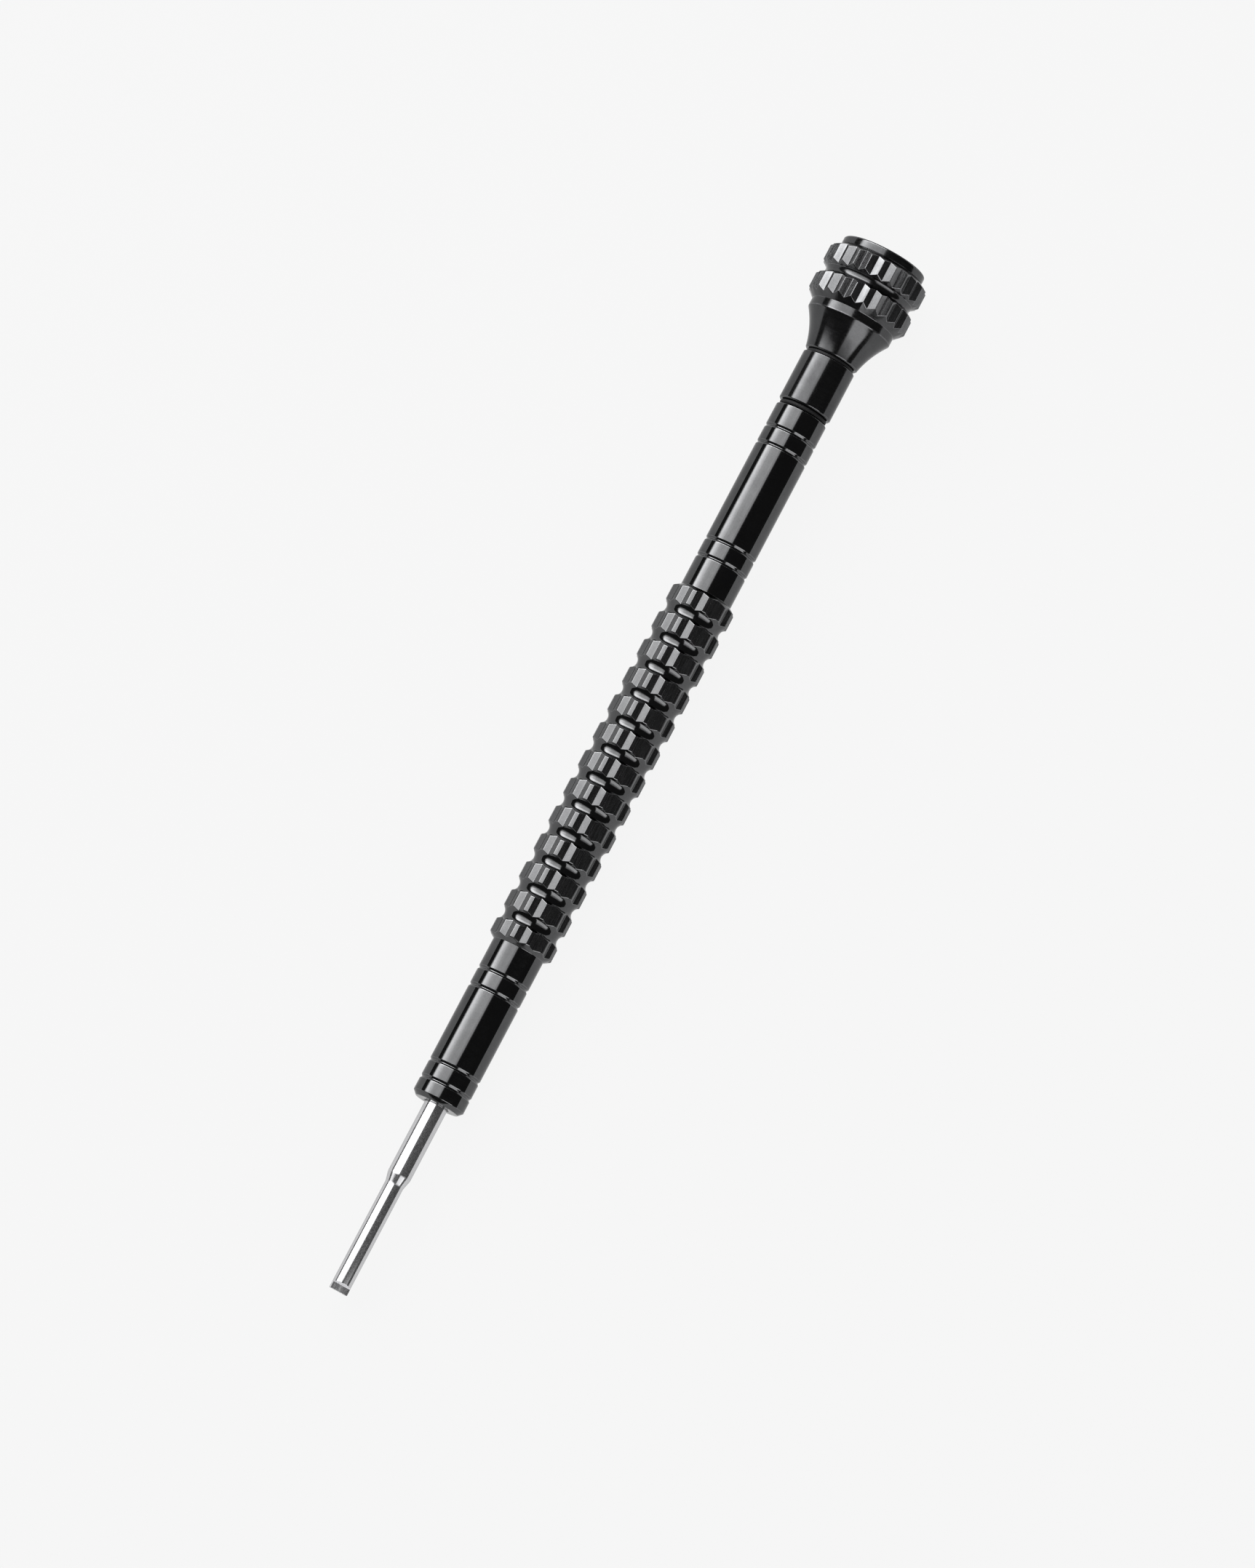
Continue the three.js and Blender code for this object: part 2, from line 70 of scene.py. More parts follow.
# Blade
SHANK_R = 1.0
TIP_R = 0.8
BLADE_LENGTH = 36.0
TAPER = (9.72, 10.52)
DRIVER_LENGTH = 0.58
DRIVER_HALF = 0.175
SHOULDER = 0.15
CLAMP_FLAT_X = 20.0
CLAMP_FLAT_Z = 0.85

# Barrel
NOSE_X = 16.98
NOSE_CHAMFER = 0.36
BARREL_R = 2.25
BARREL_END = 80.95
LINES_FRONT = (18.54, 20.08, 26.97, 28.52)
LINES_REAR = (66.71, 68.27, 77.3, 78.85)
LINE_HALF = 0.18
LINE_DEPTH = 0.13
RING_COUNT = 13
RING_PITCH = 2.575
RING_R = 2.795
RING_FEET = (31.18, 63.95)
RING_CHAMFER = 0.38
FIRST_GROOVE = 33.33
GROOVE_R = 2.42
GROOVE_ARC = 0.7
BARREL_TEETH = 12
BARREL_FLUTE_R = 2.58
BARREL_LAND = math.radians(3.6)
BORE_R = SHANK_R + SEAT_GAP
BORE_END = BLADE_LENGTH + 0.1
STORE_R = 1.12
STORE_X = 38.6
THREAD_R = 1.5
THREAD_X = 75.1
THREAD_PITCH = 0.35
THREAD_DEPTH = 0.12

# Set screw
SCREW_X = 23.5
SCREW_ANGLE = math.radians(125.0)
SCREW_R = 0.7
SCREW_OUT = 2.05
SCREW_CHAMFER = 0.15
SCREW_EDGE = 0.08
SLOT = (0.3, 0.3)  # width and depth of a screwdriver slot
SLOT_REACH = 2  # how far a slot's cutter goes past the screw
HOLE_MOUTH = (2.14, 2.5)  # where the screw's hole begins to widen, and where its cutter ends
HOLE_FLARE = 0.36

# Collar, stud and head unit
COLLAR = (81.4, 85.85)
COLLAR_R = 2.3
NECK_R = 1.66
SPIGOT_X = 75.3
STUD_R = 0.98
STUD_ROOT_R = 0.88
STUD_X = 78.5
SLEEVE_R = 1.3
WASHER_R = 2.08
TAPPED_HOLE = (0.6, 2.3)  # radius and depth of the hole in the stud

# Retaining washer and screw
RETAINER_R = 1.38
RETAINER_THICKNESS = 0.2
SCREW_HEAD = (1.25, 0.65)  # radius and height
SCREW_SHANK_R = 0.58
SCREW_LENGTH = 2.3
SCREW_THREAD_DEPTH = 0.08

# Head
HEAD_X = 86.13
HEAD_TEETH = 24
HEAD_R = 4.39
HEAD_FLUTE_R = 4.08
HEAD_NECK_R = 3.7
HEAD_TOP = 95.05
TOOL_LENGTH = 95.75
RING_A = (90.72, 91.98)
RING_B = (93.28, 94.57)
HEAD_GROOVE_X = 92.6
HEAD_GROOVE_R = 3.83
HEAD_GROOVE_ARC = 0.5
HEAD_GROOVE_LIP = 0.1
REAR_SLOPE = 0.66  # run over drop of the chamfer behind the rear ring
FLARE_START = (86.22, 2.34)
FLARE_END = (89.3, HEAD_NECK_R)
FLARE_ARC = 8.3  # radius of the flare's hollow curve
FLARE_STEPS = 20
CAP_R = 3.68
CAP_SEAT_X = 93.9
CAP_SEAT_R = 3.0
CAP_FLOOR_X = 94.3
DISH = (2.9, 0.22)  # rim radius and depth
DISH_STEPS = 14

# Bearing
BEARING_X = 90.2
BEARING_W = 2.5
BEARING_R = 2.5
BALL_COUNT = 7
BALL_R = 0.4
BALL_CIRCLE = 1.75
RACE_GAP = 0.04
INNER_LAND = 1.42
OUTER_LAND = 2.08
CAGE_HALF = 0.6
CAGE_RADII = (1.58, 1.92)
SHIELD_INSET = 0.12
SHIELD_THICKNESS = 0.12

# Where a piece's own axis lies: its origin, and its x, y and z directions in the tool's frame
SQUARE = ((1, 0, 0), (0, 1, 0), (0, 0, 1))
IN_LINE = ((0, 0, 0), SQUARE)
OUTWARD = (math.sin(SCREW_ANGLE), math.cos(SCREW_ANGLE))
RADIAL = ((SCREW_X, 0, 0), ((0, OUTWARD[0], OUTWARD[1]), (1, 0, 0), (0, OUTWARD[1], -OUTWARD[0])))
TIP_ANGLE = math.radians(-17)

# Shading shared by every metal
TINT_AT_EDGE = 0.75
ANISOTROPY = 0.7
VEIL_ROUGHNESS = 0.5
CLOUD_SCALE = 0.9
GRAIN_SCALE = 7.0

# Lights
CARD_HEIGHT = 0.6
CARD_STEPS = 96
MAIN_RADIANCE = 9.0
SIDE_RADIANCE = 2.7
SURROUNDINGS = 0.048
BACKDROP = 0.92
FLOOR_HALF = 3.0
FLOOR_TONE = 0.02
FLOOR_GLOW = 0.895

# Camera: angles in degrees, the aim along and across the tool in millimetres, the distance in metres
CAMERA_ROLL = 5.7
CAMERA_TILT = 8.9
CAMERA_TURN = 27.85
CAMERA_AIM = (47.37, 1.51)
CAMERA_DISTANCE = 0.8
CAMERA_LENS = 227.08
CAMERA_SENSOR = 36.0


# ---------------------------------------------------------------- mesh code

def corner(x, r, fillet=FILLET):
    """An outline point that gets rounded off."""
    return (x, r, fillet)


def plain(x, r):
    """An outline point that stays as it is."""
    return (x, r, 0.0)


def soften(outline, closed):
    """Rounds the corners of an outline. Gives (x, r, wear), with wear 1 in the middle of an edge."""
    last = len(outline) - 1
    out = []
    for i, (x, r, fillet) in enumerate(outline):
        if not fillet or (not closed and i in (0, last)):
            out.append((x, r, 0.0))
            continue
        here = np.array((x, r))
        ends = []
        for x2, r2, _ in (outline[i - 1], outline[(i + 1) % len(outline)]):
            edge = np.array((x2, r2)) - here
            length = max(np.hypot(*edge), 1e-9)
            ends.append(here + edge / length * min(fillet, 0.45 * length))
        for k in range(FILLET_STEPS + 1):
            t = k / FILLET_STEPS
            point = (1 - t) ** 2 * ends[0] + 2 * t * (1 - t) * here + t * t * ends[1]
            out.append((point[0], point[1], float(0 < k < FILLET_STEPS)))
    return out


def round_columns(segments=96):
    """The columns (angle, limit, wear) of a plain turned piece."""
    return [(2 * math.pi * k / segments, math.inf, 0.0) for k in range(segments)]


def flute_columns(teeth, bottom, crest, land):
    """The columns of a fluted piece, where limit is the radius of its teeth. Flute 0 points up."""
    pitch = 2 * math.pi / teeth
    shape = [(0.0, bottom, FILLET / 2), (pitch / 2 - land, crest, FILLET)]
    if land:
        shape += [(pitch / 2, crest, 0.0), (pitch / 2 + land, crest, FILLET)]
    section = []
    for i in range(teeth):
        for angle, radius, fillet in shape:
            a = i * pitch + angle
            section.append((radius * math.sin(a), radius * math.cos(a), fillet))
    section = soften(section, closed=True)
    columns = []
    for i, (y, z, wear) in enumerate(section):
        y2, z2, _ = section[(i + 1) % len(section)]
        steps = max(1, round(math.hypot(y2 - y, z2 - z) / (crest * COLUMN_TURN)))
        for k in range(steps):
            ky, kz = y + (y2 - y) * k / steps, z + (z2 - z) * k / steps
            columns.append((math.atan2(ky, kz), math.hypot(ky, kz), 0.0 if k else wear))
    return columns


def build(name, grid, marks, closed, place):
    """Joins a grid of points, one row for each column round the axis, into a closed mesh."""
    count, rows = len(grid), len(grid[0])
    faces = []
    for c in range(count):
        d = (c + 1) % count
        for k in range(rows if closed else rows - 1):
            m = (k + 1) % rows
            faces.append((c * rows + k, c * rows + m, d * rows + m, d * rows + k))
    origin, basis = place
    points = np.array(grid).reshape(-1, 3) @ np.array(basis) + np.array(origin)
    return mesh_of(name, points, faces, np.array(marks).reshape(-1, 2))


def mesh_of(name, points, faces, marks):
    """A mesh from tool-frame millimetres, with its doubled points merged.

    marks has two numbers for each point: how worn its edge is, and whether a flute cutter made it.
    """
    vertices = points * MM @ np.array((AXIS, SIDE, UP)) + np.array(TIP)
    mesh = bpy.data.meshes.new(name)
    mesh.from_pydata(vertices.tolist(), [], faces)
    for column, attribute in enumerate(("wear", "milled")):
        values = marks[:, column].astype(np.float32)
        mesh.attributes.new(attribute, "FLOAT", "POINT").data.foreach_set("value", values)
    built = bmesh.new()
    built.from_mesh(mesh)
    bmesh.ops.remove_doubles(built, verts=built.verts, dist=2e-8)
    bmesh.ops.recalc_face_normals(built, faces=built.faces)
    built.to_mesh(mesh)
    built.free()
    return mesh


def sweep(name, columns, outline, closed=False, place=IN_LINE):
    """Sweeps outline(angle, limit) through the columns round an axis."""
    grid, marks = [], []
    for angle, limit, edge in columns:
        points = soften(outline(angle, limit), closed)
        grid.append([(x, r * math.sin(angle), r * math.cos(angle)) for x, r, _ in points])
        milled = [1.0 if r > limit - 0.005 else 0.0 for _, r, _ in points]
        marks.append([(max(w, edge * m), m) for (_, _, w), m in zip(points, milled)])
    return build(name, grid, marks, closed, place)


def turn(name, outline, closed=False, place=IN_LINE, segments=96):
    """A plain turned piece."""
    return sweep(name, round_columns(segments), lambda *_: outline, closed, place)


def tube(name, start, end, inner, outer, fillet=FILLET, segments=96):
    outline = [
        corner(start, inner, fillet),
        corner(start, outer, fillet),
        corner(end, outer, fillet),
        corner(end, inner, fillet),
    ]
    return turn(name, outline, closed=True, segments=segments)


def block(name, low, high, place=IN_LINE):
    """A box between two corners, to cut with."""
    xs, ys, zs = zip(low, high)
    points = np.array([(x, y, z) for x in xs for y in ys for z in zs], float)
    origin, basis = place
    faces = [(0, 1, 3, 2), (4, 6, 7, 5), (0, 4, 5, 1), (2, 3, 7, 6), (0, 2, 6, 4), (1, 5, 7, 3)]
    return mesh_of(name, points @ np.array(basis) + np.array(origin), faces, np.zeros((8, 2)))


def carve(mesh, *cutters):
    """The mesh with the cutters taken out of it."""
    target = bpy.data.objects.new("carved", mesh)
    scene.collection.objects.link(target)
    tools = []
    for cutter in cutters:
        tool = bpy.data.objects.new("cutter", cutter)
        scene.collection.objects.link(tool)
        tools.append(tool)
        modifier = target.modifiers.new("cut", "BOOLEAN")
        modifier.operation = "DIFFERENCE"
        modifier.solver = "EXACT"
        modifier.object = tool
    depsgraph = bpy.context.evaluated_depsgraph_get()
    carved = bpy.data.meshes.new_from_object(target.evaluated_get(depsgraph))
    for leftover in (target, *tools):
        bpy.data.objects.remove(leftover)
    return carved


def piece(mesh, node, material, body):
    """Puts a finished mesh in the place of its CAD node, on that node's body."""
    made = bpy.data.objects.new(node + "_fine", mesh)
    scene.collection.objects.link(made)
    mesh.materials.clear()
    mesh.materials.append(MATERIALS[material])
    mesh.polygons.foreach_set("use_smooth", [True] * len(mesh.polygons))
    mesh.set_sharp_from_angle(angle=SHARP)
    normals = made.modifiers.new("weighted_normals", "WEIGHTED_NORMAL")
    normals.weight = 100
    normals.thresh = 0.0
    normals.keep_sharp = True
    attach(made, body)
    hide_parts(node)
    return made


# ---------------------------------------------------------------- outlines

def turned_line(x):
    """A fine V line round the barrel."""
    return [
        corner(x - LINE_HALF, BARREL_R, 0.04),
        corner(x, BARREL_R - LINE_DEPTH, 0.04),
        corner(x + LINE_HALF, BARREL_R, 0.04),
    ]


def groove(middle, bottom, arc, limit):
    """A round groove from limit down to bottom and back."""
    half = math.acos(1 - (limit - bottom) / arc)
    points = []
    for k in range(GROOVE_STEPS + 1):
        a = half * (2 * k / GROOVE_STEPS - 1)
        fillet = RING_FILLET if k in (0, GROOVE_STEPS) else 0.0
        points.append((middle + arc * math.sin(a), bottom + arc * (1 - math.cos(a)), fillet))
    return points


def grip(limit):
    """The grip's rings: a chamfer at either end, and round grooves between them."""
    reach = RING_CHAMFER * (limit - BARREL_R) / (RING_R - BARREL_R)
    points = [corner(RING_FEET[0], BARREL_R), corner(RING_FEET[0] + reach, limit, RING_FILLET)]
    for i in range(RING_COUNT - 1):
        points += groove(FIRST_GROOVE + i * RING_PITCH, GROOVE_R, GROOVE_ARC, limit)
    points += [corner(RING_FEET[1] - reach, limit, RING_FILLET), corner(RING_FEET[1], BARREL_R)]
    return points


def thread(start, end, radius, depth, angle):
    """Points along a screw thread at one angle, from start to end.

    radius is the thread's smallest, and depth is how far it goes out from there.
    """
    count = round(abs(end - start) / THREAD_PITCH * 8)
    points = []
    for k in range(count + 1):
        x = start + (end - start) * k / count
        turns = x / THREAD_PITCH - angle / (2 * math.pi)
        points.append(plain(x, radius + depth * abs(2 * (turns % 1) - 1)))
    return points


def barrel_outline(angle, limit):
    mouth = 0.12
    return [
        plain(BORE_END + DRILL_POINT * BORE_R, 0),
        plain(BORE_END, BORE_R),
        corner(NOSE_X + mouth, BORE_R),
        corner(NOSE_X, BORE_R + mouth),
        corner(NOSE_X, BARREL_R - NOSE_CHAMFER),
        corner(NOSE_X + NOSE_CHAMFER, BARREL_R),
        *[point for x in LINES_FRONT for point in turned_line(x)],
        *grip(limit),
        *[point for x in LINES_REAR for point in turned_line(x)],
        corner(BARREL_END - EDGE, BARREL_R),
        corner(BARREL_END, BARREL_R - EDGE),
        corner(BARREL_END, THREAD_R + 0.2),
        corner(BARREL_END - 0.2, THREAD_R),
        *thread(BARREL_END - 0.3, THREAD_X + 0.2, THREAD_R, THREAD_DEPTH, angle),
        plain(THREAD_X, THREAD_R),
        corner(THREAD_X, STORE_R),
        plain(STORE_X, STORE_R),
        plain(STORE_X - DRILL_POINT * STORE_R, 0),
    ]


def blade_outline(angle, start, clamp_flat):
    """One column of a blade: the driver tip's flats, the step, and the flat for the set screw."""
    facing = abs(math.cos(angle - TIP_ANGLE))
    tip = min(TIP_R, DRIVER_HALF / max(facing, 1e-6))
    rise = SHOULDER * (TIP_R * facing - DRIVER_HALF) / (TIP_R + 0.2 - DRIVER_HALF)
    flat = SHANK_R
    if clamp_flat:
        flat = min(flat, CLAMP_FLAT_Z / max(math.cos(angle - SCREW_ANGLE), 1e-6))
    chamfer = SHANK_R - 0.2
    outline = [
        plain(0, 0),
        corner(0, tip, 0.012),
        corner(DRIVER_LENGTH, tip, 0.03),
        corner(DRIVER_LENGTH + max(rise, 0.01), TIP_R, 0.02),
        corner(TAPER[0], TIP_R, 0.1),
        corner(TAPER[1], SHANK_R, 0.1),
        corner(CLAMP_FLAT_X, SHANK_R),
        corner(CLAMP_FLAT_X + 0.04, flat),
        corner(BLADE_LENGTH - (flat - chamfer), flat),
        corner(BLADE_LENGTH, chamfer),
        plain(BLADE_LENGTH, 0),
    ]
    return [(x + start, r, fillet) for x, r, fillet in outline]


def blade_columns(clamp_flat):
    """Even columns, with more of them at the edges of the flats."""
    opening = math.acos(DRIVER_HALF / TIP_R)
    edges = [opening * side + half_turn + TIP_ANGLE for side in (-1, 1) for half_turn in (0, math.pi)]
    if clamp_flat:
        edges += [SCREW_ANGLE + side * math.acos(CLAMP_FLAT_Z / SHANK_R) for side in (-1, 1)]
    angles = {round(2 * math.pi * k / 96, 6) for k in range(96)}
    angles |= {round((edge + shift) % (2 * math.pi), 6) for edge in edges for shift in (-0.012, 0.012)}
    return [(a, math.inf, 0.0) for a in sorted(angles)]


def collar_outline(angle, _):
    spigot = THREAD_R - SEAT_GAP
    neck = BARREL_END + SEAT_GAP
    bore = STUD_ROOT_R + SEAT_GAP
    return [
        plain(SPIGOT_X, 0),
        corner(SPIGOT_X, spigot - 0.2),
        plain(SPIGOT_X + 0.2, spigot - THREAD_DEPTH),
        *thread(SPIGOT_X + 0.25, neck - 0.6, spigot - THREAD_DEPTH, THREAD_DEPTH, angle),
        plain(neck - 0.55, spigot - THREAD_DEPTH),
        corner(neck, spigot - THREAD_DEPTH),
        corner(neck, NECK_R),
        corner(COLLAR[0], NECK_R),
        corner(COLLAR[0], COLLAR_R - EDGE),
        corner(COLLAR[0] + EDGE, COLLAR_R),
        corner(COLLAR[1] - EDGE, COLLAR_R),
        corner(COLLAR[1], COLLAR_R - EDGE),
        corner(COLLAR[1], bore + 0.08),
        corner(COLLAR[1] - 0.08, bore),
        corner(STUD_X - SEAT_GAP, bore),
        plain(STUD_X - SEAT_GAP, 0),
    ]


def flare():
    """The hollow arc from the head's front edge out to its neck, without its two ends."""
    x0, r0 = FLARE_START
    length = FLARE_END[0] - x0
    rise = FLARE_END[1] - r0
    half = math.asin(math.hypot(length, rise) / (2 * FLARE_ARC))
    first = math.atan2(rise, length) - half
    points = []
    for slope in first + 2 * half * np.linspace(0.03, 0.97, FLARE_STEPS):
        x = x0 + FLARE_ARC * (math.sin(slope) - math.sin(first))
        points.append(plain(x, r0 + FLARE_ARC * (math.cos(first) - math.cos(slope))))
    return points


def head_outline(_, limit):
    neck = RING_A[0] - (HEAD_R - HEAD_NECK_R)
    groove_top = HEAD_GROOVE_R + HEAD_GROOVE_LIP
    edge = HEAD_GROOVE_ARC * math.sin(math.acos(1 - HEAD_GROOVE_LIP / HEAD_GROOVE_ARC))
    drop = (HEAD_R - limit) / (HEAD_R - groove_top)
    pocket = BEARING_R + SEAT_GAP
    seat = CAP_SEAT_R + SEAT_GAP
    sleeve = SLEEVE_R + RUN_GAP
    return [
        corner(HEAD_X, sleeve),
        corner(HEAD_X, FLARE_START[1] - EDGE),
        corner(*FLARE_START),
        *flare(),
        corner(*FLARE_END, 0.1),
        corner(neck, HEAD_NECK_R),
        corner(RING_A[0] - (HEAD_R - limit), limit, HEAD_FILLET),
        corner(RING_A[1] + drop * (HEAD_GROOVE_X - edge - RING_A[1]), limit, HEAD_FILLET),
        *groove(HEAD_GROOVE_X, HEAD_GROOVE_R, HEAD_GROOVE_ARC, groove_top),
        corner(RING_B[0] - drop * (RING_B[0] - HEAD_GROOVE_X - edge), limit, HEAD_FILLET),
        corner(RING_B[1] + REAR_SLOPE * (HEAD_R - limit), limit, HEAD_FILLET),
        corner(RING_B[1] + REAR_SLOPE * (HEAD_R - CAP_R), CAP_R, 0.02),
        corner(HEAD_TOP, CAP_R, 0.01),
        corner(HEAD_TOP, seat),
        corner(CAP_SEAT_X, seat),
        corner(CAP_SEAT_X, pocket),
        corner(BEARING_X - SEAT_GAP, pocket),
        corner(BEARING_X - SEAT_GAP, sleeve),
    ]


def cap_outline():
    rim, depth = DISH
    skirt = BEARING_X + BEARING_W + SEAT_GAP
    radii = np.linspace(rim - 0.15, 0, DISH_STEPS)
    dish = [plain(TOOL_LENGTH - depth * (1 - (r / rim) ** 2), r) for r in radii]
    return [
        plain(CAP_FLOOR_X, 0),
        corner(CAP_FLOOR_X, OUTER_LAND),
        corner(skirt, OUTER_LAND),
        corner(skirt, BEARING_R - SEAT_GAP),
        corner(CAP_SEAT_X + SEAT_GAP, BEARING_R - SEAT_GAP),
        corner(CAP_SEAT_X + SEAT_GAP, CAP_SEAT_R),
        corner(HEAD_TOP + SEAT_GAP, CAP_SEAT_R),
        corner(HEAD_TOP + SEAT_GAP, CAP_R, 0.02),
        corner(TOOL_LENGTH - EDGE, CAP_R, 0.06),
        corner(TOOL_LENGTH, CAP_R - EDGE, 0.06),
        corner(TOOL_LENGTH, rim, 0.06),
        *dish,
    ]


def raceway(side, land):
    """The ball track in one of the bearing's rings."""
    arc = BALL_R + RACE_GAP
    half = math.sqrt(arc * arc - (land - BALL_CIRCLE) ** 2)
    middle = BEARING_X + BEARING_W / 2
    points = []
    for k in range(GROOVE_STEPS + 1):
        x = half * (2 * k / GROOVE_STEPS - 1)
        fillet = 0.015 if k in (0, GROOVE_STEPS) else 0.0
        points.append((middle + x, BALL_CIRCLE + side * math.sqrt(arc * arc - x * x), fillet))
    return points


# ---------------------------------------------------------------- materials

def add(tree, kind, inputs=None, **settings):
    """A shader node with its settings, and its inputs linked or set."""
    made = tree.nodes.new(kind)
    for key, value in settings.items():
        setattr(made, key, value)
    for key, value in (inputs or {}).items():
        if isinstance(value, bpy.types.NodeSocket):
            tree.links.new(value, made.inputs[key])
        else:
            made.inputs[key].default_value = value
    return made


def noise(tree, vector, scale, detail=3.0, rough=0.55):
    inputs = {"Vector": vector, "Scale": scale, "Detail": detail, "Roughness": rough}
    return add(tree, "ShaderNodeTexNoise", inputs).outputs["Fac"]


def ranged(tree, value, low, high, start=0.3, end=0.7):
    """Stretches a value from start..end to low..high."""
    inputs = {"Value": value, "From Min": start, "From Max": end, "To Min": low, "To Max": high}
    return add(tree, "ShaderNodeMapRange", inputs).outputs["Result"]


def mixed(tree, factor, first, second):
    """A colour between two others."""
    made = add(tree, "ShaderNodeMix", data_type="RGBA")
    tree.links.new(factor, made.inputs["Factor"])
    for index, value in ((6, first), (7, second)):
        if isinstance(value, bpy.types.NodeSocket):
            tree.links.new(value, made.inputs[index])
        else:
            made.inputs[index].default_value = (*value, 1.0)
    return made.outputs[2]


def vector_math(tree, operation, first, second):
    made = add(tree, "ShaderNodeVectorMath", operation=operation)
    for index, value in enumerate((first, second)):
        if isinstance(value, bpy.types.NodeSocket):
            tree.links.new(value, made.inputs[index])
        else:
            made.inputs[index].default_value = value
    return made


def math_node(tree, operation, first, second):
    made = add(tree, "ShaderNodeMath", operation=operation)
    for index, value in enumerate((first, second)):
        if isinstance(value, bpy.types.NodeSocket):
            tree.links.new(value, made.inputs[index])
        else:
            made.inputs[index].default_value = value
    return made.outputs[0]


def millimetres(tree):
    """The piece's own coordinates, in millimetres."""
    spot = add(tree, "ShaderNodeTexCoord").outputs["Object"]
    scaled = vector_math(tree, "SCALE", spot, (0, 0, 0))
    scaled.inputs["Scale"].default_value = 1000.0
    return scaled.outputs[0]


def stretched(tree, spot, along, across):
    """Coordinates scaled differently along the tool's axis and across it."""
    reach = vector_math(tree, "DOT_PRODUCT", spot, tuple(AXIS)).outputs["Value"]
    axial = vector_math(tree, "SCALE", tuple(AXIS), (0, 0, 0))
    tree.links.new(reach, axial.inputs["Scale"])
    wide = vector_math(tree, "MULTIPLY", spot, (across,) * 3).outputs[0]
    extra = vector_math(tree, "MULTIPLY", axial.outputs[0], (along - across,) * 3).outputs[0]
    return vector_math(tree, "ADD", wide, extra).outputs[0]


def lay(tree, milled):
    """The direction a finish smears reflections in: along the axis where turned, across where milled."""
    normal = add(tree, "ShaderNodeNewGeometry").outputs["Normal"]
    across = vector_math(tree, "CROSS_PRODUCT", tuple(AXIS), normal).outputs[0]
    made = add(tree, "ShaderNodeMix", {0: milled, 4: tuple(AXIS), 5: across}, data_type="VECTOR")
    return made.outputs[1]


def metal(
    name, dark, light, roughness, streaks, relief, haze, polish, cut=1.0, bright=(0.6, 0.6, 0.62)
):
    """A machined metal: two tints in clouds, tool marks with their own stretch, and bright edges.

    streaks is (along, across) in marks per millimetre on turned faces, and the other way round on
    milled ones. relief is the marks' height in micrometres, haze the share of dull reflection on
    turned and on milled faces, polish how much the edges are worn, and cut how much more a milled
    face reflects.
    """
    made = bpy.data.materials.new(name)
    made.use_nodes = True
    tree = made.node_tree
    surface = tree.nodes["Principled BSDF"]
    spot = millimetres(tree)
    along, across = streaks
    turned_marks = noise(tree, stretched(tree, spot, along, across), 1.0, 4.0, 0.6)
    milled_marks = noise(tree, stretched(tree, spot, across, along), 1.0, 4.0, 0.6)
    milled = add(tree, "ShaderNodeAttribute", attribute_name="milled").outputs["Fac"]
    either = add(tree, "ShaderNodeMix", {0: milled, 2: turned_marks, 3: milled_marks}, data_type="FLOAT")
    marks = either.outputs[0]
    cloud = noise(tree, spot, CLOUD_SCALE)
    grain = noise(tree, spot, GRAIN_SCALE, rough=0.7)
    tone = math_node(tree, "ADD", ranged(tree, cloud, 0.0, 0.5), ranged(tree, grain, 0.0, 0.5))
    gain = vector_math(tree, "SCALE", mixed(tree, tone, dark, light), (0, 0, 0))
    tree.links.new(ranged(tree, milled, 1.0, cut, 0.0, 1.0), gain.inputs["Scale"])
    wear = add(tree, "ShaderNodeAttribute", attribute_name="wear").outputs["Fac"]
    worn = math_node(tree, "MULTIPLY", wear, ranged(tree, grain, 0.2 * polish, polish))
    colour = mixed(tree, worn, gain.outputs[0], bright)
    tree.links.new(colour, surface.inputs["Base Color"])
    surface.inputs["Metallic"].default_value = 1.0
    surface.inputs["Specular Tint"].default_value = (*(TINT_AT_EDGE,) * 3, 1.0)
    surface.inputs["Anisotropic"].default_value = ANISOTROPY
    tree.links.new(lay(tree, milled), surface.inputs["Tangent"])
    low, high = roughness
    rough = ranged(tree, marks, low, high, 0.35, 0.65)
    rough = math_node(tree, "ADD", rough, ranged(tree, grain, -0.02, 0.02))
    tree.links.new(rough, surface.inputs["Roughness"])
    height = math_node(tree, "MULTIPLY", marks, ranged(tree, milled, 1.0, MILLED_RELIEF, 0.0, 1.0))
    bump = add(tree, "ShaderNodeBump", {"Height": height, "Distance": relief * 1e-6, "Strength": 1.0})
    tree.links.new(bump.outputs["Normal"], surface.inputs["Normal"])
    veil = add(tree, "ShaderNodeBsdfAnisotropic", {"Color": colour, "Roughness": VEIL_ROUGHNESS})
    turned_haze = ranged(tree, grain, 0.4 * haze[0], 1.6 * haze[0])
    uneven = ranged(tree, marks, 0.3 * haze[1], 1.7 * haze[1], 0.35, 0.65)
    milled_haze = math_node(tree, "MULTIPLY", milled, uneven)
    share = math_node(tree, "ADD", math_node(tree, "ADD", turned_haze, milled_haze), worn)
    both = add(tree, "ShaderNodeMixShader", {0: share, 1: surface.outputs[0], 2: veil.outputs[0]})
    tree.links.new(both.outputs[0], tree.nodes["Material Output"].inputs["Surface"])
    return made


